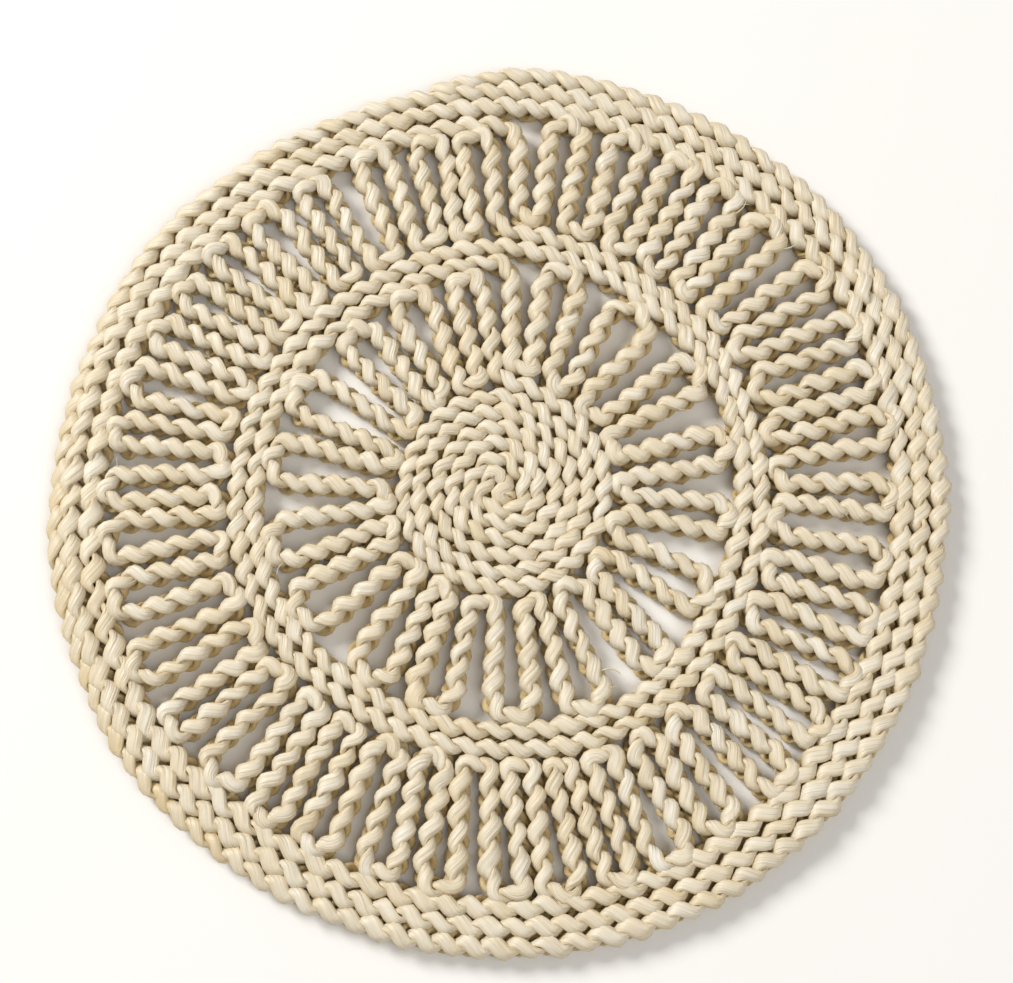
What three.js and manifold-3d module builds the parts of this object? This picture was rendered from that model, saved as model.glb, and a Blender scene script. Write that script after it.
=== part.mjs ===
// A round table mat made of one long husk plait, set on edge and wound outward anticlockwise.
// From the centre it runs as a coil, a round of inner hairpin loops, a ring of two turns,
// a round of outer hairpin loops and a rim of three turns, sewn to itself wherever it touches.
// Millimetres and degrees, +Z up. The origin is the middle of the coil, on the underside.

import * as THREE from 'three';
import { mergeVertices } from 'three/addons/utils/BufferGeometryUtils.js';
import Module from 'manifold-3d';

// The plait on edge
const HEIGHT = 11;
const WAIST_HEIGHT = 5.5;
const GROOVE_HEIGHT = 8;
const LOOP_WIDTH = 6.4;
const LOOP_TOP_WIDTH = 5;
const ROW_TOP_SHARE = 0.5;
const EDGE_BEVEL = 1;

// The wound parts: how many turns lie side by side, and how far apart
const COIL_ROWS = 6;
const COIL_PITCH = 6.8;
const COIL_STEPS = 30;
const RING_ROWS = 2;
const RING_PITCH = 7.2;
const RING_STEPS = 44;
const RIM_ROWS = 3;
const RIM_PITCH = 7.9;
const RIM_STEPS = 60;

// Every turn starts and ends at the top of the mat
const TURN_START = 90;
const TURN_END = 450;

// Middle of the coil's outermost turn as it goes round: angle, radius
const COIL_COURSE = [
  [90, 41.2],
  [120, 41.2],
  [150, 40.8],
  [180, 42],
  [210, 42.8],
  [240, 42],
  [270, 42.2],
  [300, 42.8],
  [330, 42.2],
  [360, 42.7],
  [390, 43.2],
  [420, 44.2],
  [450, 48],
];

// Middle of the ring's inner turn: angle, radius
const RING_COURSE = [
  [90, 102.2],
  [120, 100.2],
  [150, 103],
  [180, 105],
  [210, 105.4],
  [240, 102.2],
  [270, 101.3],
  [300, 104.3],
  [330, 101.2],
  [360, 101.4],
  [390, 103.2],
  [420, 103.6],
  [450, 109.4],
];

// Middle of the rim's inner turn: angle, radius
const RIM_COURSE = [
  [90, 166.6],
  [120, 166.8],
  [150, 170.2],
  [180, 171.6],
  [210, 173.2],
  [240, 171.2],
  [270, 171.8],
  [300, 171.5],
  [330, 168.4],
  [360, 168],
  [390, 171.4],
  [420, 172.2],
  [450, 174.5],
];

// Loop tables, a row for each hairpin loop: the angles at which the plait rises to the crown
// and falls from it, then those at which it falls to the foot and rises from it again
const INNER_LOOPS = [
  [96, 104, 101.5, 112],
  [110.5, 120.5, 120.5, 130],
  [127.5, 138, 138.5, 150],
  [147.5, 159, 160, 169],
  [166.5, 178, 179.5, 188.5],
  [188, 199.5, 196.5, 205.5],
  [205.5, 218, 215.5, 226],
  [229, 240.5, 234.5, 243.5],
  [246.5, 257, 255, 267],
  [267.5, 277.5, 279.5, 288.5],
  [286, 296, 296, 308.5],
  [307, 315.5, 316, 328.5],
  [326.5, 336.5, 336.5, 349],
  [348.5, 357, 357, 366],
  [367, 376, 375.5, 389],
  [387.5, 397, 396.5, 410],
  [407.5, 420, 418, 427.5],
  [430, 439.5, 436.5, 446],
];
const OUTER_LOOPS = [
  [92, 97, 95.5, 100.5],
  [99.5, 104.5, 104, 109],
  [108.5, 113.5, 113, 119],
  [119.5, 124, 123.5, 128],
  [128, 133.5, 132.5, 136.5],
  [136.5, 141.5, 140, 144.5],
  [144.5, 149.5, 148, 152.5],
  [152.5, 157, 156, 160.5],
  [160, 166, 164, 168.5],
  [169, 173.5, 172, 177],
  [177.5, 182.5, 180.5, 185.5],
  [185, 190.5, 189, 194.5],
  [193.5, 199, 198.5, 204.5],
  [204, 209.5, 208, 214],
  [214, 218.5, 217.5, 223.5],
  [222.5, 229.5, 227, 231.5],
  [232, 237, 235, 240],
  [240, 245, 243.5, 250],
  [249.5, 255, 253.5, 258.5],
  [258.5, 263.5, 262, 267],
  [268.5, 273, 271, 275.5],
  [276, 280.5, 279, 283.5],
  [284.5, 288.5, 287, 292.5],
  [291.5, 297, 296, 301],
  [300, 305, 304.5, 309.5],
  [310, 315, 313.5, 319],
  [319.5, 324.5, 322.5, 327],
  [327.5, 333, 331, 337],
  [336.5, 342, 340.5, 346.5],
  [345, 351.5, 350.5, 357.5],
  [356, 361, 361, 366.5],
  [367, 372, 370.5, 375],
  [375, 379.5, 378.5, 385.5],
  [383, 387.5, 389.5, 394],
  [392, 397, 397.5, 403],
  [402.5, 408, 407, 411],
  [411.5, 416.5, 414.5, 419.5],
  [419.5, 424, 423, 428],
  [428, 433.5, 431.5, 438],
  [437.5, 442.5, 442, 447],
];

// How far a crown is pushed into the turn outside it, and a foot into the turn inside it
const CROWN_OVERLAP = 1.6;
const FOOT_OVERLAP = 0.6;

// Where the plait leaves one round and joins the next
const INNER_ENTRY = { from: 76, turn: 93.5 };
const INNER_EXIT = { turn: 448, to: 458 };
const OUTER_ENTRY = { from: 83, turn: 91.5 };
const OUTER_EXIT = { turn: 447.5, to: 455 };

// The heart is the plait's own start, curled round a folded core in the middle of the coil
const HEART_ANGLES = { from: 250, to: 456 };
const HEART_STEPS = 6;
const HEART_START_RADIUS = 5.5;
const CORE_RADIUS = 5;
const CORE_SIDES = 14;

// The plait's end is tucked against the rim's outer turn
const TAIL_ANGLES = { from: 446, to: 461 };
const TAIL_STEPS = 4;
const TAIL_TUCK = 8;

// How finely corners are rounded, and the fractions of a millimetre that points are set to
const CORNER_STEPS = 2;
const SAME_POINT = 0.01;
const GRID = 1024;

const FULL_TURN = 360;
const HUSK = new THREE.MeshStandardMaterial({ color: 0xe0d2b0, roughness: 0.6, metalness: 0 });

const wasm = await Module();
wasm.setup();

function polar(angle, radius) {
  const turned = THREE.MathUtils.degToRad(angle);
  return new THREE.Vector2(radius * Math.cos(turned), radius * Math.sin(turned));
}

// A smooth radius through the rows of a course table
function course(rows) {
  const angles = rows.map(([angle]) => angle);
  const radii = rows.map(([, radius]) => radius);
  const smooth = new THREE.CubicInterpolant(angles, radii, 1);
  return (angle) => smooth.evaluate(angle)[0];
}

const coilRadius = course(COIL_COURSE);
const ringRadius = course(RING_COURSE);
const rimRadius = course(RIM_COURSE);

// The profile set across a flat path at one point. Its first number is measured to the right
// of the path and may be stretched, its second is the height.
function section(point, along, profile, stretch = 1) {
  const snap = (value) => Math.round(value * GRID) / GRID;
  return profile.map(([across, height]) => [
    snap(point.x + along.y * across * stretch),
    snap(point.y - along.x * across * stretch),
    height,
  ]);
}

// A section at each point of a path, mitred between the runs that meet there
function sections(path, profile) {
  return path.map((point, i) => {
    const next = Math.min(i + 1, path.length - 1);
    const previous = Math.max(i - 1, 0);
    const into = path[Math.max(i, 1)].clone().sub(path[previous]).normalize();
    const out = path[next].clone().sub(path[Math.min(i, path.length - 2)]).normalize();
    const along = into.clone().add(out).normalize();
    return section(point, along, profile, 1 / along.dot(into));
  });
}

// One closed solid through a run of sections, flat at its ends
function body(run, profile) {
  const sides = profile.length;
  const triangles = [];
  for (let i = 0; i < run.length - 1; i += 1) {
    for (let j = 0; j < sides; j += 1) {
      const near = i * sides + j;
      const nearNext = i * sides + ((j + 1) % sides);
      triangles.push(near, near + sides, nearNext);
      triangles.push(nearNext, near + sides, nearNext + sides);
    }
  }
  const outline = profile.map(([across, height]) => new THREE.Vector2(across, height));
  const last = (run.length - 1) * sides;
  for (const [a, b, c] of THREE.ShapeUtils.triangulateShape(outline, [])) {
    triangles.push(a, b, c);
    triangles.push(last + a, last + c, last + b);
  }
  const geometry = new THREE.BufferGeometry();
  geometry.setAttribute('position', new THREE.Float32BufferAttribute(run.flat(2), 3));
  geometry.setIndex(triangles);
  return solid(geometry);
}

function sweep(path, profile) {
  return body(sections(path, profile), profile);
}

function solid(geometry) {
  geometry.deleteAttribute('normal');
  geometry.deleteAttribute('uv');
  const merged = mergeVertices(geometry);
  const vertProperties = new Float32Array(merged.getAttribute('position').array);
  const triVerts = new Uint32Array(merged.getIndex().array);
  return new wasm.Manifold(new wasm.Mesh({ numProp: 3, vertProperties, triVerts }));
}

// Turns lying side by side: a groove between neighbours, one flat underside
function rowsProfile(rows, pitch, firstRow) {
  const start = (firstRow - 0.5) * pitch;
  const end = start + rows * pitch;
  const profile = [[start + EDGE_BEVEL, 0], [end - EDGE_BEVEL, 0], [end, WAIST_HEIGHT]];
  for (let row = rows - 1; row >= 0; row -= 1) {
    const middle = start + (row + 0.5) * pitch;
    const shoulder = 0.5 * ROW_TOP_SHARE * pitch;
    profile.push([middle + shoulder, HEIGHT], [middle - shoulder, HEIGHT]);
    if (row > 0) {
      profile.push([middle - 0.5 * pitch, GROOVE_HEIGHT]);
    }
  }
  profile.push([start, WAIST_HEIGHT]);
  return profile;
}

// A wound part in two halves. Its end, a pitch further out, lies face to face with its start.
function wound(radius, steps, profile) {
  const path = [];
  for (let i = 0; i <= steps; i += 1) {
    const angle = THREE.MathUtils.lerp(TURN_START, TURN_END, i / steps);
    path.push(polar(angle, radius(angle)));
  }
  const run = sections(path, profile);
  const alongAtTop = new THREE.Vector2(-1, 0);
  run[0] = section(path[0], alongAtTop, profile);
  run[steps] = section(path[steps], alongAtTop, profile);
  const middle = Math.round(steps / 2);
  return [body(run.slice(0, middle + 1), profile), body(run.slice(middle), profile)];
}

const LOOP_PROFILE = [
  [-LOOP_WIDTH / 2, 0],
  [LOOP_WIDTH / 2, 0],
  [LOOP_TOP_WIDTH / 2, HEIGHT],
  [-LOOP_TOP_WIDTH / 2, HEIGHT],
];

// Points of the arc that rounds one corner, between the straight runs before and after it
function roundCorner(before, corner, after) {
  const back = before.clone().sub(corner);
  const ahead = after.clone().sub(corner);
  const reach = 0.5 * Math.min(back.length(), ahead.length());
  const inside = back.angleTo(ahead);
  const turn = Math.sign(ahead.cross(back)) * (Math.PI - inside);
  const start = corner.clone().add(back.setLength(reach));
  const toCentre = back.add(ahead.setLength(reach)).setLength(reach / Math.cos(inside / 2));
  const centre = corner.clone().add(toCentre);
  const points = [];
  for (let i = 0; i <= CORNER_STEPS; i += 1) {
    points.push(start.clone().rotateAround(centre, (turn * i) / CORNER_STEPS));
  }
  return points;
}

// A round of hairpin loops: one solid along the rounded corners from start to end
function loops(start, corners, end) {
  const route = [start, ...corners, end];
  const path = [start];
  for (let i = 1; i < route.length - 1; i += 1) {
    const arc = roundCorner(route[i - 1], route[i], route[i + 1]);
    path.push(...arc.filter((point) => point.distanceTo(path[path.length - 1]) > SAME_POINT));
  }
  path.push(end);
  return sweep(path, LOOP_PROFILE);
}

// The corners of a round of loops between the turn inside it and the turn outside it
function loopCorners(table, insideEdge, outsideEdge) {
  const corners = [];
  for (const [rise, fall, footFall, footRise] of table) {
    const crown = (angle) => polar(angle, outsideEdge(angle) + CROWN_OVERLAP - LOOP_WIDTH / 2);
    const foot = (angle) => polar(angle, insideEdge(angle) - FOOT_OVERLAP + LOOP_WIDTH / 2);
    corners.push(crown(rise), crown(fall), foot(footFall), foot(footRise));
  }
  return corners;
}

function innerLoops() {
  const insideEdge = (angle) => coilRadius(angle) + 0.5 * COIL_PITCH;
  const outsideEdge = (angle) => ringRadius(angle) - 0.5 * RING_PITCH;
  const start = polar(INNER_ENTRY.from, coilRadius(INNER_ENTRY.from + FULL_TURN));
  const entry = polar(INNER_ENTRY.turn, coilRadius(TURN_END));
  const exit = polar(INNER_EXIT.turn, ringRadius(TURN_START));
  const end = polar(INNER_EXIT.to, ringRadius(INNER_EXIT.to - FULL_TURN));
  return loops(start, [entry, ...loopCorners(INNER_LOOPS, insideEdge, outsideEdge), exit], end);
}

function outerLoops() {
  const insideEdge = (angle) => ringRadius(angle) + (RING_ROWS - 0.5) * RING_PITCH;
  const outsideEdge = (angle) => rimRadius(angle) - 0.5 * RIM_PITCH;
  const start = polar(OUTER_ENTRY.from, ringRadius(OUTER_ENTRY.from + FULL_TURN) + RING_PITCH);
  const entry = polar(OUTER_ENTRY.turn, ringRadius(TURN_END) + RING_PITCH);
  const exit = polar(OUTER_EXIT.turn, rimRadius(TURN_START));
  const end = polar(OUTER_EXIT.to, rimRadius(OUTER_EXIT.to - FULL_TURN));
  return loops(start, [entry, ...loopCorners(OUTER_LOOPS, insideEdge, outsideEdge), exit], end);
}

function heart() {
  const joinRadius = coilRadius(TURN_END) - COIL_ROWS * COIL_PITCH;
  const path = [];
  for (let i = 0; i <= HEART_STEPS; i += 1) {
    const share = i / HEART_STEPS;
    const angle = THREE.MathUtils.lerp(HEART_ANGLES.from, HEART_ANGLES.to, share);
    path.push(polar(angle, THREE.MathUtils.lerp(HEART_START_RADIUS, joinRadius, share)));
  }
  const core = new THREE.CylinderGeometry(CORE_RADIUS, CORE_RADIUS, HEIGHT, CORE_SIDES);
  core.rotateX(Math.PI / 2);
  core.translate(0, 0, HEIGHT / 2);
  return sweep(path, LOOP_PROFILE).add(solid(core));
}

function tail() {
  const path = [];
  for (let i = 0; i <= TAIL_STEPS; i += 1) {
    const share = i / TAIL_STEPS;
    const angle = THREE.MathUtils.lerp(TAIL_ANGLES.from, TAIL_ANGLES.to, share);
    const radius = rimRadius(Math.min(angle, TURN_END)) + (RIM_ROWS - 1) * RIM_PITCH;
    path.push(polar(angle, radius - TAIL_TUCK * share * share));
  }
  return sweep(path, LOOP_PROFILE);
}

function plaitedMat() {
  const pieces = [
    heart(),
    ...wound(coilRadius, COIL_STEPS, rowsProfile(COIL_ROWS, COIL_PITCH, 1 - COIL_ROWS)),
    innerLoops(),
    ...wound(ringRadius, RING_STEPS, rowsProfile(RING_ROWS, RING_PITCH, 0)),
    outerLoops(),
    ...wound(rimRadius, RIM_STEPS, rowsProfile(RIM_ROWS, RIM_PITCH, 0)),
    tail(),
  ];
  const whole = pieces.reduce((joined, piece) => joined.add(piece));
  const { numProp, vertProperties, triVerts } = whole.getMesh();
  const geometry = new THREE.BufferGeometry();
  geometry.setAttribute('position', new THREE.Float32BufferAttribute(vertProperties, numProp));
  geometry.setIndex(Array.from(triVerts));
  geometry.computeVertexNormals();
  const mesh = new THREE.Mesh(geometry, HUSK);
  mesh.name = 'plaited_mat';
  return mesh;
}

const mat = new THREE.Group();
mat.add(plaitedMat());

export default mat;
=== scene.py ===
"""A round table mat made of one long husk plait, set on edge and wound outward anticlockwise.

Three strands are swept along the plait's path: a coil, a round of inner hairpin loops, a ring of
two turns, a round of outer hairpin loops and a rim of three turns. Metres and degrees, +Z up.
"""

import math

import bpy
import numpy as np
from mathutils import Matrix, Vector


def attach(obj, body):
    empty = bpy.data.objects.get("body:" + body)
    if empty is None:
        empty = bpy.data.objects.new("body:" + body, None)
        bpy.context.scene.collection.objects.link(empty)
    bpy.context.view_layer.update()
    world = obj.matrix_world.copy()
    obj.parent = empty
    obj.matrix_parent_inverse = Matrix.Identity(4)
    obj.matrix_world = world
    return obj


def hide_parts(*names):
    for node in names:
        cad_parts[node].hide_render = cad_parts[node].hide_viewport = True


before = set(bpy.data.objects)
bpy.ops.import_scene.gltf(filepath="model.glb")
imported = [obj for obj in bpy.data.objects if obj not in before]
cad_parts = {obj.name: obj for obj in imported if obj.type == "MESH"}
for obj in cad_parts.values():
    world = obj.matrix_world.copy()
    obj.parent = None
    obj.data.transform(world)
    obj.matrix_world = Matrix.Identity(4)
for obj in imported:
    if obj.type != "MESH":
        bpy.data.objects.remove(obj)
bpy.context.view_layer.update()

# The plait's turns, as in the solid: how far apart they lie, how many there are, how wide the loops
# are, and how far the loops overlap the turns outside and inside them
COIL_PITCH = 0.0068
RING_PITCH = 0.0072
RING_ROWS = 2
RIM_PITCH = 0.0079
RIM_ROWS = 3
LOOP_WIDTH = 0.0064
CROWN_OVERLAP = 0.0016
FOOT_OVERLAP = 0.0006

# How far crowns press over the turn outside them, and how high they ride within reach of it
INNER_PRESS = {"least": 0.0, "most": 0.0012, "seed": 1}
OUTER_PRESS = {"least": 0.0004, "most": 0.003, "seed": 2}
CROWN_REACH = 0.006
CROWN_RAISE = 0.0009

# Each turn is counted anticlockwise from the top of the mat round to the top again
FULL_TURN = 360
TURN_START = 90
TURN_END = 450

# Middle of the coil's outermost turn, of the ring's inner turn and of the rim's inner turn,
# a radius every 30 degrees from the top of the mat round to the top again
COURSE_STEP = 30
COIL_COURSE = [
    0.0412, 0.0412, 0.0408, 0.0420, 0.0428, 0.0420, 0.0422, 0.0428, 0.0422, 0.0427, 0.0432, 0.0442, 0.0480,
]
RING_COURSE = [
    0.1022, 0.1002, 0.1030, 0.1050, 0.1054, 0.1022, 0.1013, 0.1043, 0.1012, 0.1014, 0.1032, 0.1036, 0.1094,
]
RIM_COURSE = [
    0.1666, 0.1668, 0.1702, 0.1716, 0.1732, 0.1712, 0.1718, 0.1715, 0.1684, 0.1680, 0.1714, 0.1722, 0.1745,
]

# Loop tables, a row for each hairpin loop: the angles at which the plait rises to the crown
# and falls from it, then those at which it falls to the foot and rises from it again
INNER_LOOPS = [
    [96, 104, 101.5, 112],
    [110.5, 120.5, 120.5, 130],
    [127.5, 138, 138.5, 150],
    [147.5, 159, 160, 169],
    [166.5, 178, 179.5, 188.5],
    [188, 199.5, 196.5, 205.5],
    [205.5, 218, 215.5, 226],
    [229, 240.5, 234.5, 243.5],
    [246.5, 257, 255, 267],
    [267.5, 277.5, 279.5, 288.5],
    [286, 296, 296, 308.5],
    [307, 315.5, 316, 328.5],
    [326.5, 336.5, 336.5, 349],
    [348.5, 357, 357, 366],
    [367, 376, 375.5, 389],
    [387.5, 397, 396.5, 410],
    [407.5, 420, 418, 427.5],
    [430, 439.5, 436.5, 446],
]
OUTER_LOOPS = [
    [92, 97, 95.5, 100.5],
    [99.5, 104.5, 104, 109],
    [108.5, 113.5, 113, 119],
    [119.5, 124, 123.5, 128],
    [128, 133.5, 132.5, 136.5],
    [136.5, 141.5, 140, 144.5],
    [144.5, 149.5, 148, 152.5],
    [152.5, 157, 156, 160.5],
    [160, 166, 164, 168.5],
    [169, 173.5, 172, 177],
    [177.5, 182.5, 180.5, 185.5],
    [185, 190.5, 189, 194.5],
    [193.5, 199, 198.5, 204.5],
    [204, 209.5, 208, 214],
    [214, 218.5, 217.5, 223.5],
    [222.5, 229.5, 227, 231.5],
    [232, 237, 235, 240],
    [240, 245, 243.5, 250],
    [249.5, 255, 253.5, 258.5],
    [258.5, 263.5, 262, 267],
    [268.5, 273, 271, 275.5],
    [276, 280.5, 279, 283.5],
    [284.5, 288.5, 287, 292.5],
    [291.5, 297, 296, 301],
    [300, 305, 304.5, 309.5],
    [310, 315, 313.5, 319],
    [319.5, 324.5, 322.5, 327],
    [327.5, 333, 331, 337],
    [336.5, 342, 340.5, 346.5],
    [345, 351.5, 350.5, 357.5],
    [356, 361, 361, 366.5],
    [367, 372, 370.5, 375],
    [375, 379.5, 378.5, 385.5],
    [383, 387.5, 389.5, 394],
    [392, 397, 397.5, 403],
    [402.5, 408, 407, 411],
    [411.5, 416.5, 414.5, 419.5],
    [419.5, 424, 423, 428],
    [428, 433.5, 431.5, 438],
    [437.5, 442.5, 442, 447],
]

# The plait starts in a fold that fills the middle of the coil, with its end sunk out of sight
HEART_FOLD = [
    (0.0058, -0.0030),
    (0.0020, -0.0034),
    (-0.0014, -0.0016),
    (0.0008, 0.0020),
    (0.0008, 0.0046),
]
HEART_START = -1704
HEART_SINK = {"depth": 0.0045, "reach": 0.007}
HEART_SWELL = {"share": 0.35, "reach": 0.016}

# Where the plait leaves one round for the next, and where its end is tucked in
INNER_ENTRY = {"from": 76, "turn": 93.5}
INNER_EXIT = {"turn": 448, "to": 458}
OUTER_ENTRY = {"from": 83, "turn": 91.5}
OUTER_EXIT = {"turn": 447.5, "to": 455}
TAIL_ANGLES = {"from": 446, "to": 461}
TAIL_TUCK = 0.008

# How finely the path is laid out, smoothed and cut into rings of points. A rounded corner takes up
# a share of the shorter run beside it, and a bell curve is cut off at a number of its spreads
SPIRAL_STEP = 1.0
CORNER_STEPS = 8
CORNER_SHARE = 0.5
BELL_REACH = 4
FINE_STEP = 0.0005
SMOOTHING = 0.0012
RING_STEP = 0.00135
SECTION_SIDES = 12

# The plait: how high its middle lies, how far a strand swings up and sideways, and a strand's half
# width and half thickness. The sideways swing and the half width go with each stretch's own width
STRANDS = 3
MIDDLE_HEIGHT = 0.0055
SWING_UP = 0.00385
SWING_SIDE = 0.0023
HALF_WIDTH = 0.0032
HALF_THICKNESS = 0.00165

# A strand's form: how flat it runs over the top, how far it tips on edge as it dives and how late,
# how blunt its edges are, and how deep the ridges along it are
FLAT_TOP = 0.08
TIP_ANGLE = 74
TIP_HOLD = 0.8
EDGE_POWER = 0.8
RIDGE_DEPTH = 0.045

# Each stretch of the plait: its width as a share of the measures above, and the length of one full plait
STRETCHES = {
    "coil": {"width": 0.85, "period": 0.0272},
    "inner_loops": {"width": 0.94, "period": 0.0295},
    "ring": {"width": 0.91, "period": 0.0288},
    "outer_loops": {"width": 0.93, "period": 0.0303},
    "rim": {"width": 1.01, "period": 0.0315},
}

# Unevenness of hand work along the whole plait: its wavelength, its size and its seed
PERIOD_WANDER = {"wave": 0.06, "size": 0.045, "seed": 11}
LEAN_WANDER = {"wave": 0.05, "size": 4.0, "seed": 12}
SIDE_WANDER = {"wave": 0.035, "size": 0.00035, "seed": 13}

# Unevenness of each strand. The seeds are the first strand's, and the others count on from them
SWING_WANDER = {"wave": 0.021, "size": 0.1, "seed": 20}
TWIST_WANDER = {"wave": 0.02, "size": 0.14, "seed": 30}
WIDTH_WANDER = {"wave": 0.014, "size": 0.09, "seed": 40}
THICKNESS_WANDER = {"wave": 0.017, "size": 0.08, "seed": 50}
TONE_WANDER = {"wave": 0.045, "size": 1.0, "seed": 80}
HEIGHT_WANDER = {"wave": 0.019, "size": 0.0003, "seed": 90}

# How the ridges turn about the strand, for two ridges and for three
RIDGE_WANDERS = {
    2: {"wave": 0.012, "size": 1.6, "seed": 60},
    3: {"wave": 0.012, "size": 1.6, "seed": 70},
}

# How far a change from stretch to stretch, from turn to turn or at a crown is spread along the plait
STRETCH_BLUR = 0.006
SLIP_BLUR = 0.015
CROWN_BLUR = 0.002

# The rim's three turns, from the inside out. The outermost leans outward, and on the left of the mat
# the turns have slipped: they crowd outward over the outermost one, which lies lower there
RIM_LEANS = (0.0, 0.0, 18.0)
RIM_OUTWARD = (0.0, 0.0, -0.0010)
SLIP_ANGLES = {"from": 140, "full": 168, "fade": 215, "to": 245}
SLIP = {
    "outward": (0.0014, 0.0018, -0.0008),
    "rise": (0.0, 0.0004, -0.0017),
    "lean": (0.0, 4.0, 12.0),
    "widen": (0.14, 0.04, -0.03),
    # painted shade: the slipped turns' colour goes warmer and darker, most on the lower outermost turn
    "tone": (0.6, 0.7, 1.5),
}

# Frayed fibres: near what place each springs from the plait, where its tip would be, and its half width
WISPS = [
    [0.0410, -0.0765, 0.0512, -0.0768, 0.0006],
    [0.0420, -0.0800, 0.0500, -0.0828, 0.0005],
    [0.0910, -0.1225, 0.0955, -0.1372, 0.0003],
    [-0.1395, 0.0390, -0.1440, 0.0448, 0.0003],
    [-0.1585, 0.0090, -0.1622, 0.0158, 0.0003],
    [-0.1600, -0.0390, -0.1512, -0.0372, 0.00032],
    [-0.1605, -0.0360, -0.1530, -0.0330, 0.00028],
    [0.0970, 0.1240, 0.1050, 0.1310, 0.00035],
    [0.0985, 0.1225, 0.1085, 0.1262, 0.0003],
    [0.1170, 0.1100, 0.1275, 0.1118, 0.00045],
    [0.1370, -0.0120, 0.1440, -0.0182, 0.0003],
    [-0.0900, -0.0345, -0.0945, -0.0425, 0.0003],
    [-0.0760, -0.1330, -0.0825, -0.1402, 0.0003],
    [0.0690, 0.0420, 0.0785, 0.0390, 0.0003],
]
WISP_STEPS = 9
WISP_SIDES = 4

# How high a frayed fibre's root lies, how far its tip rises above that and how far it bows for its
# length, then its thickness beside its width, the share of its section left at the tip, and its share of
# painted shade
WISP_ROOT = {"height": 0.0078, "rise": 0.0027, "bow": 0.2}
WISP_FLATNESS = 0.5
WISP_POINT = 0.02
WISP_PAINTED_SHADE = 0.15

# Husk colours. The last is painted shade, mixed in low in the plait, at strand edges and on the wisps
HUSK_PALE = (0.79, 0.745, 0.65, 1)
HUSK_WARM = (0.70, 0.575, 0.37, 1)
HUSK_LINE = (0.50, 0.385, 0.20, 1)
HUSK_PAINTED_SHADE = (0.53, 0.38, 0.135, 1)

# Husk fibres: the scale of the noise across and along a strand, and how far apart the strands lie in it
FINE_FIBRES = {"across": 2600, "along": 95, "detail": 3.0}
BROAD_FIBRES = {"across": 620, "along": 26, "detail": 2.0}
FIBRE_OFFSET = 3.0

# Painted shade: the heights at which none and all of it is mixed in low in the plait, how much is painted
# at a strand's edges, and how fast it fades from them
PAINTED_SHADE_HEIGHTS = {"none": 0.0103, "full": 0.0030}
EDGE_PAINTED_SHADE = 0.42
EDGE_SHADE_FADE = 2.5

# How tone, streaks, lines and painted shade become shares of the husk colours, and fine fibres a roughness
TONE_RANGE = {"low": -2.6, "high": 4.4}
STREAK_RANGE = {"low": 0.48, "high": 0.7, "to_high": 0.65}
LINE_RANGE = {"low": 0.52, "high": 0.72, "to_high": 0.5}
PAINTED_SHADE_RANGE = {"low": 0.0, "high": 1.0, "to_high": 0.8}
ROUGHNESS_RANGE = {"low": 0.3, "high": 0.7, "to_low": 0.33, "to_high": 0.52}

# The husk's sheen, and how far its folds and its lines stand out
HUSK_SHEEN = {"Specular IOR Level": 0.45, "Sheen Weight": 0.12, "Sheen Roughness": 0.4}
FOLD_BUMP = {"Strength": 0.8, "Distance": 0.0011}
LINE_BUMP = {"Strength": 0.5, "Distance": 0.0004}

# Pale floor and soft studio light
FLOOR_REACH = 12.0
FLOOR_COLOUR = (0.86, 0.85, 0.83, 1)
FLOOR_ROUGHNESS = 0.9
LIGHTS = {
    "key_light": {"place": (-2.2, 1.5, 2.1), "size": 1.3, "power": 109, "tint": (1.0, 0.985, 0.96)},
    "fill_light": {"place": (1.2, -1.0, 2.6), "size": 2.4, "power": 36, "tint": (1.0, 0.99, 0.97)},
}
WORLD_COLOUR = (1.0, 0.98, 0.95, 1)
WORLD_STRENGTH = 0.31

# Photograph's view: how far the camera tilts from straight above, its distance, its aim and its lens
CAMERA_TILT = 14
CAMERA_DISTANCE = 0.79
CAMERA_AIM = Vector((0.0015, -0.0011, 0.009))
CAMERA_LENS = 66.85


def polar(angle, radius):
    """The point at an angle and a radius from the middle of the coil."""
    turned = np.radians(angle)
    return np.stack([radius * np.cos(turned), radius * np.sin(turned)], axis=-1)


def smooth_through(start, step, values):
    """A function that runs smoothly through evenly spaced values."""
    values = np.asarray(values, float)
    slopes = np.gradient(values)

    def at(x):
        place = (np.asarray(x, float) - start) / step
        i = np.clip(np.floor(place).astype(int), 0, len(values) - 2)
        p = place - i
        rise = 3 * p**2 - 2 * p**3
        ends = values[i] * (1 - rise) + values[i + 1] * rise
        return ends + slopes[i] * (p**3 - 2 * p**2 + p) + slopes[i + 1] * (p**3 - p**2)

    return at


coil_radius = smooth_through(TURN_START, COURSE_STEP, COIL_COURSE)
ring_radius = smooth_through(TURN_START, COURSE_STEP, RING_COURSE)
rim_radius = smooth_through(TURN_START, COURSE_STEP, RIM_COURSE)


def coil_outside(angle):
    """Radius of the coil's outer edge."""
    return coil_radius(angle) + COIL_PITCH / 2


def ring_inside(angle):
    """Radius of the ring's inner edge."""
    return ring_radius(angle) - RING_PITCH / 2


def ring_outside(angle):
    """Radius of the ring's outer edge."""
    return ring_radius(angle) + (RING_ROWS - 0.5) * RING_PITCH


def rim_inside(angle):
    """Radius of the rim's inner edge."""
    return rim_radius(angle) - RIM_PITCH / 2


def spiral(radius, pitch, start, end):
    """Points of a wound stretch. Each full turn lies a pitch outside the one before."""
    angles = np.arange(start, end, SPIRAL_STEP)
    turns = np.floor((angles - TURN_START) / FULL_TURN)
    return polar(angles, radius(angles - turns * FULL_TURN) + turns * pitch)


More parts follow.
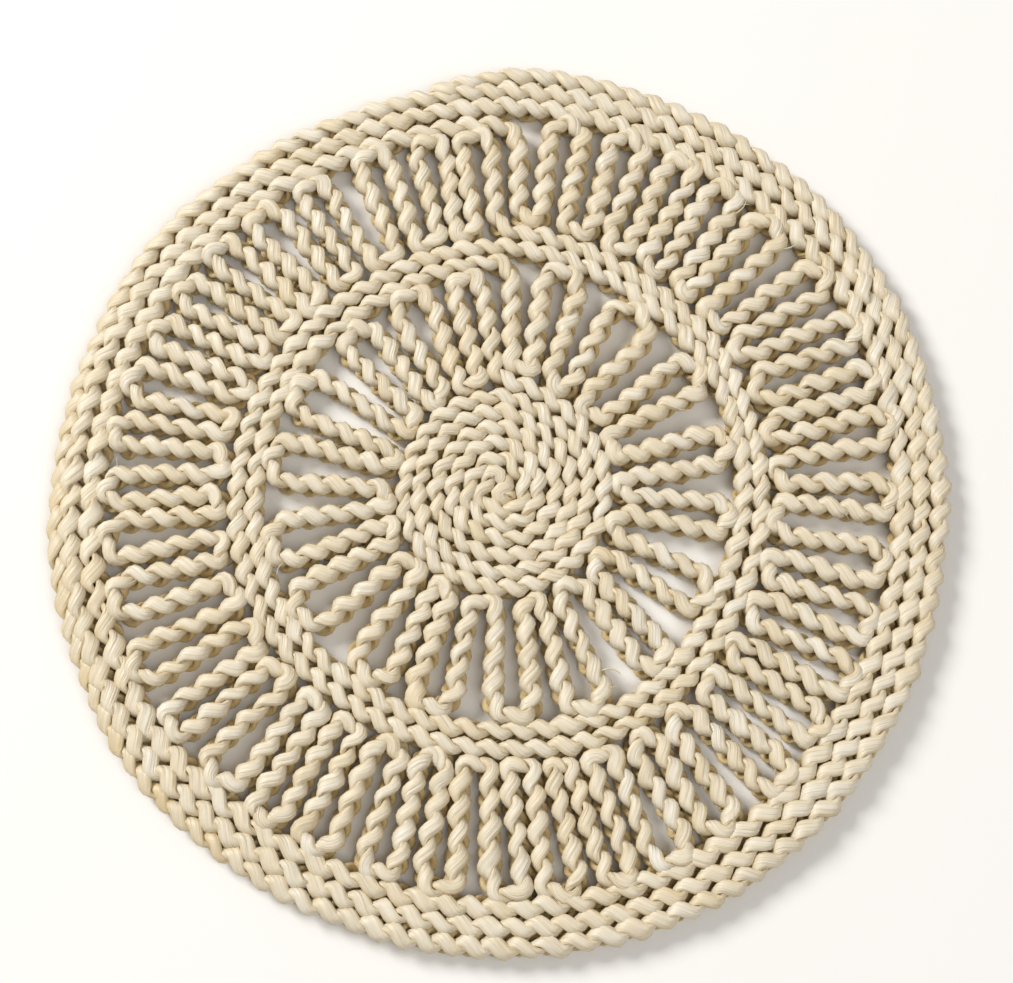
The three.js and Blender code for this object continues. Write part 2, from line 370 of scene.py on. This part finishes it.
def round_corner(before, corner, after):
    """Points of the arc that rounds one corner, between the straight runs before and after it."""
    back = before - corner
    ahead = after - corner
    reach = CORNER_SHARE * min(np.linalg.norm(back), np.linalg.norm(ahead))
    back = back / np.linalg.norm(back)
    ahead = ahead / np.linalg.norm(ahead)
    inside = math.acos(np.clip(back @ ahead, -1, 1))
    middle = (back + ahead) / np.linalg.norm(back + ahead)
    centre = corner + middle * reach / math.cos(inside / 2)
    side = np.sign(ahead[0] * back[1] - ahead[1] * back[0])
    turn = side * (math.pi - inside) * np.linspace(0, 1, CORNER_STEPS + 1)
    arm = corner + back * reach - centre
    x = arm[0] * np.cos(turn) - arm[1] * np.sin(turn)
    y = arm[0] * np.sin(turn) + arm[1] * np.cos(turn)
    return centre + np.stack([x, y], axis=-1)


def rounded(route):
    """Points along a route with every corner rounded."""
    arcs = [round_corner(*route[i - 1:i + 2]) for i in range(1, len(route) - 1)]
    return np.concatenate(arcs)


def loop_corners(table, inside_edge, outside_edge, press):
    """The corners of a round of loops, between the edges of the turns inside and outside it."""
    corners = []
    draw = np.random.default_rng(press["seed"])
    presses = draw.uniform(press["least"], press["most"], len(table))
    for (rise, fall, foot_fall, foot_rise), pressed in zip(table, presses):
        for angle in (rise, fall):
            corners.append(polar(angle, outside_edge(angle) + CROWN_OVERLAP + pressed - LOOP_WIDTH / 2))
        for angle in (foot_fall, foot_rise):
            corners.append(polar(angle, inside_edge(angle) - FOOT_OVERLAP + LOOP_WIDTH / 2))
    return corners


def inner_loops():
    """Points of the loops between the coil and the ring, with the runs into and out of them."""
    corners = loop_corners(INNER_LOOPS, coil_outside, ring_inside, INNER_PRESS)
    start = polar(INNER_ENTRY["from"], coil_radius(INNER_ENTRY["from"] + FULL_TURN))
    entry = polar(INNER_ENTRY["turn"], coil_radius(TURN_END))
    leave = polar(INNER_EXIT["turn"], ring_radius(TURN_START))
    end = polar(INNER_EXIT["to"], ring_radius(INNER_EXIT["to"] - FULL_TURN))
    return rounded([start, entry, *corners, leave, end])


def outer_loops():
    """Points of the loops between the ring and the rim, with the runs into and out of them."""
    corners = loop_corners(OUTER_LOOPS, ring_outside, rim_inside, OUTER_PRESS)
    start = polar(OUTER_ENTRY["from"], ring_radius(OUTER_ENTRY["from"] + FULL_TURN) + RING_PITCH)
    entry = polar(OUTER_ENTRY["turn"], ring_radius(TURN_END) + RING_PITCH)
    leave = polar(OUTER_EXIT["turn"], rim_radius(TURN_START))
    end = polar(OUTER_EXIT["to"], rim_radius(OUTER_EXIT["to"] - FULL_TURN))
    return rounded([start, entry, *corners, leave, end])


def tail():
    """Points of the rim's end, which is tucked against the turn inside it."""
    angles = np.arange(TAIL_ANGLES["from"], TAIL_ANGLES["to"], SPIRAL_STEP)
    share = (angles - TAIL_ANGLES["from"]) / (TAIL_ANGLES["to"] - TAIL_ANGLES["from"])
    radius = rim_radius(np.minimum(angles, TURN_END)) + (RIM_ROWS - 1) * RIM_PITCH
    return polar(angles, radius - TAIL_TUCK * share**2)


def stretches():
    """The plait's path from the centre outward, a set of points for each stretch."""
    coil_turns = spiral(coil_radius, COIL_PITCH, HEART_START, INNER_ENTRY["from"] + FULL_TURN)
    coil = np.concatenate([HEART_FOLD, coil_turns])
    ring_start = INNER_EXIT["to"] - FULL_TURN
    ring_end = OUTER_ENTRY["from"] + RING_ROWS * FULL_TURN
    ring = spiral(ring_radius, RING_PITCH, ring_start, ring_end)
    rim_start = OUTER_EXIT["to"] - FULL_TURN
    rim_end = TAIL_ANGLES["from"] + (RIM_ROWS - 1) * FULL_TURN
    rim = spiral(rim_radius, RIM_PITCH, rim_start, rim_end)
    return {
        "coil": coil,
        "inner_loops": inner_loops(),
        "ring": ring,
        "outer_loops": outer_loops(),
        "rim": np.concatenate([rim, tail()]),
    }


def lengths(points):
    """Distance along a run of points, from its first point to each of them."""
    return np.concatenate([[0], np.cumsum(np.linalg.norm(np.diff(points, axis=0), axis=1))])


def resampled(points, marks, step):
    """The run at even distances, with the values of marks carried along."""
    along = lengths(points)
    even = np.linspace(0, along[-1], int(along[-1] / step) + 1)
    spread = [np.interp(even, along, column) for column in (*points.T, *marks)]
    return np.stack(spread[:2], axis=-1), spread[2:]


def softened(values, spread):
    """Values smoothed along the run, by a bell curve that is spread points wide."""
    reach = int(BELL_REACH * spread)
    bell = np.exp(-0.5 * (np.arange(-reach, reach + 1) / spread) ** 2)
    padded = np.pad(values, reach, mode="edge")
    return np.convolve(padded, bell / bell.sum(), mode="valid")


def wander(along, wave, size, seed, strand=0):
    """Smooth random unevenness along the plait, or along one of its strands."""
    count = int(along[-1] / wave) + 3
    values = np.random.default_rng(seed + strand).standard_normal(count)
    return size * smooth_through(0, wave, values)(along)


def turn_angle(points):
    """The angle of each point, counted from the top of the mat as in the course tables."""
    angle = np.degrees(np.arctan2(points[:, 1], points[:, 0]))
    return TURN_START + (angle - TURN_START) % FULL_TURN


def on_stretch(owner, name):
    """Whether each point of the path belongs to the named stretch."""
    return owner == list(STRETCHES).index(name)


def for_stretches(measure, owner):
    """A measure of each stretch, laid along the path and softened."""
    values = np.array([own[measure] for own in STRETCHES.values()])
    return softened(values[owner], STRETCH_BLUR / RING_STEP)


def rim_turns(points, owner):
    """Which of the rim's turns each point of the path is on, or -1 for the rest of the plait."""
    outside = np.linalg.norm(points, axis=1) - rim_radius(turn_angle(points))
    turn = np.clip(np.round(outside / RIM_PITCH), 0, RIM_ROWS - 1)
    return np.where(on_stretch(owner, "rim"), turn, -1).astype(int)


def for_turns(values, turns, share=1.0):
    """A value for each of the rim's turns, laid along the path and softened. The rest has none."""
    return softened(np.take((*values, 0.0), turns) * share, SLIP_BLUR / RING_STEP)


def crown_share(points, owner):
    """How near each point of the path is to a loop's crown, from 0 to 1."""
    angle = turn_angle(points)
    radius = np.linalg.norm(points, axis=1)
    share = np.zeros(len(points))
    for name, edge in (("inner_loops", ring_inside), ("outer_loops", rim_inside)):
        near = np.clip((radius - edge(angle)) / CROWN_REACH + 1, 0, 1)
        share = np.where(on_stretch(owner, name), near, share)
    return softened(share, CROWN_BLUR / RING_STEP)


def plait_path():
    """Points of the whole plait at even distances along it, and which stretch each belongs to."""
    names = list(STRETCHES)
    parts = stretches()
    points = np.concatenate([parts[name] for name in names])
    owner = np.concatenate([np.full(len(parts[name]), float(i)) for i, name in enumerate(names)])
    fine, (owner,) = resampled(points, [owner], FINE_STEP)
    spread = SMOOTHING / FINE_STEP
    fine = np.stack([softened(fine[:, 0], spread), softened(fine[:, 1], spread)], axis=-1)
    even, (owner,) = resampled(fine, [owner], RING_STEP)
    return even, np.round(owner).astype(int)


def make_plait():
    """The three strands of the whole plait, its path, and which stretch each point of it belongs to."""
    points, owner = plait_path()
    along = lengths(points)
    ahead = np.gradient(points, axis=0)
    ahead /= np.linalg.norm(ahead, axis=1)[:, None]
    left = np.stack([-ahead[:, 1], ahead[:, 0]], axis=-1)
    period = for_stretches("period", owner) * (1 + wander(along, **PERIOD_WANDER))
    turns = rim_turns(points, owner)
    share = np.interp(turn_angle(points), list(SLIP_ANGLES.values()), [0, 1, 1, 0])
    slip = {measure: for_turns(values, turns, share) for measure, values in SLIP.items()}
    lean = wander(along, **LEAN_WANDER) + for_turns(RIM_LEANS, turns) + slip["lean"]
    sink = HEART_SINK["depth"] * np.clip(1 - along / HEART_SINK["reach"], 0, 1) ** 2
    swell = HEART_SWELL["share"] * np.exp(-((along / HEART_SWELL["reach"]) ** 2))
    raised = CROWN_RAISE * crown_share(points, owner) + slip["rise"]
    aside = wander(along, **SIDE_WANDER) - for_turns(RIM_OUTWARD, turns) - slip["outward"]
    plait = {
        "along": along,
        "left": left,
        "points": points + left * aside[:, None],
        "turned": 2 * math.pi * np.cumsum(RING_STEP / period),
        "width": for_stretches("width", owner) * (1 + slip["widen"] + swell),
        "lean": np.radians(lean),
        "middle": MIDDLE_HEIGHT + raised - sink,
        # the tone carries painted shade on the rim's slipped turns
        "tone": slip["tone"],
    }
    return [make_strand(k, plait) for k in range(STRANDS)], points, owner


def make_strand(k, plait):
    """Rings of points of one strand along the whole plait, with what its material needs."""
    along = plait["along"]
    left = plait["left"]
    lean = plait["lean"]
    phase = plait["turned"] + 2 * math.pi * k / STRANDS
    swing = SWING_SIDE * plait["width"] * (1 + wander(along, strand=k, **SWING_WANDER))
    across = -swing * np.sin(2 * phase)
    height = SWING_UP * (np.cos(phase) - FLAT_TOP * np.cos(3 * phase)) / (1 - FLAT_TOP)
    height += wander(along, strand=k, **HEIGHT_WANDER)
    lean_across = across * np.cos(lean) - height * np.sin(lean)
    lean_height = height * np.cos(lean) + across * np.sin(lean)
    flat = plait["points"] + left * lean_across[:, None]
    centre = np.column_stack([flat, plait["middle"] + lean_height])
    along_strand = np.gradient(centre, axis=0)
    along_strand /= np.linalg.norm(along_strand, axis=1)[:, None]

    tip = math.radians(TIP_ANGLE) * np.sin(phase) * np.abs(np.sin(phase)) ** TIP_HOLD
    tip += wander(along, strand=k, **TWIST_WANDER) + lean
    normal = np.column_stack([-left * np.sin(tip)[:, None], np.cos(tip)])
    normal -= along_strand * np.sum(normal * along_strand, axis=1)[:, None]
    normal /= np.linalg.norm(normal, axis=1)[:, None]
    beside = np.cross(normal, along_strand)

    half_width = HALF_WIDTH * plait["width"] * (1 + wander(along, strand=k, **WIDTH_WANDER))
    half_thickness = HALF_THICKNESS * (1 + wander(along, strand=k, **THICKNESS_WANDER))
    around = 2 * math.pi * np.arange(SECTION_SIDES) / SECTION_SIDES
    ridges = np.ones((len(along), SECTION_SIDES))
    for count, turning in RIDGE_WANDERS.items():
        turn = wander(along, strand=k, **turning)
        ridges += RIDGE_DEPTH * np.cos(count * around + turn[:, None])
    lens = np.sign(np.sin(around)) * np.abs(np.sin(around)) ** EDGE_POWER
    sideways = (half_width[:, None] * np.cos(around) * ridges)[:, :, None] * beside[:, None, :]
    upward = (half_thickness[:, None] * lens * ridges)[:, :, None] * normal[:, None, :]
    rings = centre[:, None, :] + sideways + upward
    rings[:, :, 2] = np.maximum(rings[:, :, 2], 0.0)
    round_ring = np.roll(rings, -1, axis=1) - np.roll(rings, 1, axis=1)
    facing = np.cross(round_ring, np.gradient(rings, axis=0))
    facing /= np.linalg.norm(facing, axis=2, keepdims=True)

    fibre = np.empty_like(rings)
    fibre[:, :, 0] = half_width[:, None] * np.cos(around)
    fibre[:, :, 1] = half_thickness[:, None] * np.sin(around)
    fibre[:, :, 2] = along[:, None] + FIBRE_OFFSET * k
    # random husk tone, plus painted shade on the rim's slipped turns
    tone = wander(along, strand=k, **TONE_WANDER) + plait["tone"]
    tone = np.repeat(tone[:, None], SECTION_SIDES, axis=1)
    # Painted shade: a darker, warmer colour mixed in low in the plait and at a strand's edges, where shade
    # falls
    deep = (PAINTED_SHADE_HEIGHTS["none"] - rings[:, :, 2]) / (PAINTED_SHADE_HEIGHTS["none"] - PAINTED_SHADE_HEIGHTS["full"])
    deep = np.clip(deep, 0, 1) + EDGE_PAINTED_SHADE * np.abs(np.cos(around)) ** EDGE_SHADE_FADE
    return {"rings": rings, "facing": facing, "fibre": fibre, "tone": tone, "deep": deep}


def tube_faces(count, sides, first):
    """Faces of a tube of rings of points, numbered from first, closed at both ends."""
    i, j = np.meshgrid(np.arange(count - 1), np.arange(sides), indexing="ij")
    near = first + i * sides + j
    near_next = first + i * sides + (j + 1) % sides
    skin = np.stack([near, near_next, near_next + sides, near + sides], axis=-1)
    start = [first + n for n in reversed(range(sides))]
    end = [first + (count - 1) * sides + n for n in range(sides)]
    return skin.reshape(-1, 4).tolist() + [start, end]


def add_piece(name, mesh, material):
    """Puts a mesh in the scene as a piece of the mat."""
    mesh.update()
    mesh.materials.append(material)
    piece = bpy.data.objects.new(name, mesh)
    bpy.context.scene.collection.objects.link(piece)
    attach(piece, "root")
    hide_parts("plaited_mat")


def set_measures(mesh, fibre, **measures):
    """Gives each point of a mesh what the material reads: its place on the strand and its measures."""
    place = mesh.attributes.new("fibre", "FLOAT_VECTOR", "POINT")
    place.data.foreach_set("vector", fibre.astype(np.float32).ravel())
    for name, values in measures.items():
        measure = mesh.attributes.new(name, "FLOAT", "POINT")
        measure.data.foreach_set("value", values.astype(np.float32).ravel())


def make_wisps(path, material):
    """Loose fibres that spring from the plait, each a thin curved tube that ends in a point."""
    share = np.linspace(0, 1, WISP_STEPS)[:, None]
    around = 2 * math.pi * np.arange(WISP_SIDES) / WISP_SIDES
    points, faces = [], []
    for i, (root_x, root_y, tip_x, tip_y, half_width) in enumerate(WISPS):
        root = path[np.argmin(np.linalg.norm(path - (root_x, root_y), axis=1))]
        start = np.array([*root, WISP_ROOT["height"]])
        run = np.array([tip_x - root_x, tip_y - root_y, WISP_ROOT["rise"]])
        aside = np.array([-run[1], run[0], np.linalg.norm(run) / 2]) * WISP_ROOT["bow"] * (-1) ** i
        aside[2] = abs(aside[2])
        line = start + run * share + aside * 4 * share * (1 - share)
        ahead = np.gradient(line, axis=0)
        beside = np.cross(ahead, (0, 0, 1))
        beside /= np.linalg.norm(beside, axis=1)[:, None]
        above = np.cross(beside, ahead)
        above /= np.linalg.norm(above, axis=1)[:, None]
        size = half_width * np.sqrt(1 + WISP_POINT - share)
        for angle in around:
            outward = math.cos(angle) * beside + WISP_FLATNESS * math.sin(angle) * above
            points.append(line + size * outward)
    rings = np.array(points).reshape(len(WISPS), WISP_SIDES, WISP_STEPS, 3).swapaxes(1, 2)
    for i in range(len(WISPS)):
        faces += tube_faces(WISP_STEPS, WISP_SIDES, i * WISP_STEPS * WISP_SIDES)
    mesh = bpy.data.meshes.new("frayed_wisps")
    mesh.from_pydata(rings.reshape(-1, 3).tolist(), [], faces)
    mesh.polygons.foreach_set("use_smooth", np.ones(len(mesh.polygons), bool))
    count = len(mesh.vertices)
    # Each wisp carries a small even share of painted shade
    set_measures(mesh, rings.reshape(-1, 3), tone=np.ones(count), deep=np.full(count, WISP_PAINTED_SHADE))
    add_piece("frayed_wisps", mesh, material)


def plait_piece(name, strands, low, high, material):
    """One stretch of the plait as a mesh of its three strands."""
    count = high - low
    faces = []
    for k in range(STRANDS):
        faces += tube_faces(count, SECTION_SIDES, k * count * SECTION_SIDES)
    gathered = {}
    for measure in strands[0]:
        runs = [strand[measure][low:high].reshape(count * SECTION_SIDES, -1) for strand in strands]
        gathered[measure] = np.concatenate(runs)
    mesh = bpy.data.meshes.new(name)
    mesh.from_pydata(gathered["rings"].tolist(), [], faces)
    mesh.polygons.foreach_set("use_smooth", np.ones(len(mesh.polygons), bool))
    mesh.normals_split_custom_set_from_vertices(gathered["facing"].tolist())
    set_measures(mesh, gathered["fibre"], tone=gathered["tone"], deep=gathered["deep"])
    add_piece(name, mesh, material)


def add_node(tree, kind, inputs=(), **settings):
    """A shader node with its settings, and its inputs linked to outputs or set to values."""
    node = tree.nodes.new(kind)
    for name, value in settings.items():
        setattr(node, name, value)
    for place, value in dict(inputs).items():
        if isinstance(value, bpy.types.NodeSocket):
            tree.links.new(value, node.inputs[place])
        else:
            node.inputs[place].default_value = value
    return node


def fibre_noise(tree, fibre, across, along, detail):
    """Noise drawn out along the strand, from a scale across it and a scale along it."""
    scales = {0: fibre, 1: (across, across, along)}
    scaled = add_node(tree, "ShaderNodeVectorMath", scales, operation="MULTIPLY")
    places = {"Vector": scaled.outputs[0], "Scale": 1.0, "Detail": detail}
    return add_node(tree, "ShaderNodeTexNoise", places).outputs["Fac"]


def ranged(tree, value, low, high, to_low=0.0, to_high=1.0):
    """A value mapped from one range to another, and held inside it."""
    places = {"Value": value, "From Min": low, "From Max": high, "To Min": to_low, "To Max": to_high}
    return add_node(tree, "ShaderNodeMapRange", places).outputs["Result"]


def mixed(tree, share, first, second):
    """A colour between two colours, by a share that may vary over the surface."""
    mix = add_node(tree, "ShaderNodeMix", data_type="RGBA")
    for place, value in (("Factor_Float", share), ("A_Color", first), ("B_Color", second)):
        socket = next(i for i in mix.inputs if i.identifier == place)
        if isinstance(value, bpy.types.NodeSocket):
            tree.links.new(value, socket)
        else:
            socket.default_value = value
    return next(o for o in mix.outputs if o.identifier == "Result_Color")


def attribute(tree, name, output):
    """What a mesh says of each of its points under a name."""
    return add_node(tree, "ShaderNodeAttribute", attribute_name=name).outputs[output]


def husk_material():
    """Dry husk: cream with fine lengthwise fibres and warmer from husk to husk, with painted shade mixed
    in low in the plait, at strand edges and on the rim's slipped turns.
    """
    material = bpy.data.materials.new("dry_husk")
    material.use_nodes = True
    tree = material.node_tree
    shader = tree.nodes["Principled BSDF"]
    fibre = attribute(tree, "fibre", "Vector")
    fine = fibre_noise(tree, fibre, **FINE_FIBRES)
    broad = fibre_noise(tree, fibre, **BROAD_FIBRES)
    tone = ranged(tree, attribute(tree, "tone", "Fac"), **TONE_RANGE)
    deep = ranged(tree, attribute(tree, "deep", "Fac"), **PAINTED_SHADE_RANGE)
    colour = mixed(tree, tone, HUSK_PALE, HUSK_WARM)
    colour = mixed(tree, ranged(tree, broad, **STREAK_RANGE), colour, HUSK_WARM)
    colour = mixed(tree, ranged(tree, fine, **LINE_RANGE), colour, HUSK_LINE)
    # The last mix paints shade: the husk goes towards the painted shade colour low in the plait and at
    # strand edges
    colour = mixed(tree, deep, colour, HUSK_PAINTED_SHADE)
    tree.links.new(colour, shader.inputs["Base Color"])
    tree.links.new(ranged(tree, fine, **ROUGHNESS_RANGE), shader.inputs["Roughness"])
    for place, value in HUSK_SHEEN.items():
        shader.inputs[place].default_value = value
    folds = add_node(tree, "ShaderNodeBump", {"Height": broad, **FOLD_BUMP})
    lines = {"Height": fine, "Normal": folds.outputs["Normal"], **LINE_BUMP}
    bump = add_node(tree, "ShaderNodeBump", lines)
    tree.links.new(bump.outputs["Normal"], shader.inputs["Normal"])
    return material


def make_floor():
    """The pale floor that the mat lies on."""
    mesh = bpy.data.meshes.new("floor")
    sides = [(-1, -1), (1, -1), (1, 1), (-1, 1)]
    corners = [(x * FLOOR_REACH, y * FLOOR_REACH, 0) for x, y in sides]
    mesh.from_pydata(corners, [], [(0, 1, 2, 3)])
    floor = bpy.data.objects.new("floor", mesh)
    bpy.context.scene.collection.objects.link(floor)
    material = bpy.data.materials.new("pale_floor")
    material.use_nodes = True
    shader = material.node_tree.nodes["Principled BSDF"]
    shader.inputs["Base Color"].default_value = FLOOR_COLOUR
    shader.inputs["Roughness"].default_value = FLOOR_ROUGHNESS
    mesh.materials.append(material)


def make_light(name, place, size, power, tint):
    """A round soft light that shines on the middle of the mat."""
    data = bpy.data.lights.new(name, "AREA")
    data.shape = "DISK"
    data.size = size
    data.energy = power
    data.color = tint
    light = bpy.data.objects.new(name, data)
    light.location = place
    light.rotation_euler = (-Vector(place)).to_track_quat("-Z", "Y").to_euler()
    bpy.context.scene.collection.objects.link(light)


def make_world():
    """Even light from all round, and plain colours."""
    world = bpy.data.worlds.new("studio")
    world.use_nodes = True
    background = world.node_tree.nodes["Background"]
    background.inputs["Color"].default_value = WORLD_COLOUR
    background.inputs["Strength"].default_value = WORLD_STRENGTH
    bpy.context.scene.world = world
    bpy.context.scene.view_settings.view_transform = "Standard"


def make_camera():
    """The photograph's view, tilted from straight above."""
    data = bpy.data.cameras.new("camera")
    data.lens = CAMERA_LENS
    camera = bpy.data.objects.new("camera", data)
    tilt = math.radians(CAMERA_TILT)
    back = Vector((0, -math.sin(tilt), math.cos(tilt)))
    camera.location = CAMERA_AIM + CAMERA_DISTANCE * back
    camera.rotation_euler = (tilt, 0, 0)
    bpy.context.scene.collection.objects.link(camera)
    bpy.context.scene.camera = camera


def make_mat():
    """The pieces of the mat. Each ends on the ring of points that the next one starts with."""
    strands, points, owner = make_plait()
    husk = husk_material()
    for name in STRETCHES:
        places = np.flatnonzero(on_stretch(owner, name))
        low = places[0]
        high = min(places[-1] + 2, len(owner))
        if name == "outer_loops":
            middle = (low + high) // 2
            plait_piece("outer_loops_left", strands, low, middle + 1, husk)
            plait_piece("outer_loops_right", strands, middle, high, husk)
        else:
            plait_piece(name, strands, low, high, husk)
    make_wisps(points, husk)


make_mat()
make_floor()
for light_name, light_measures in LIGHTS.items():
    make_light(light_name, **light_measures)
make_world()
make_camera()
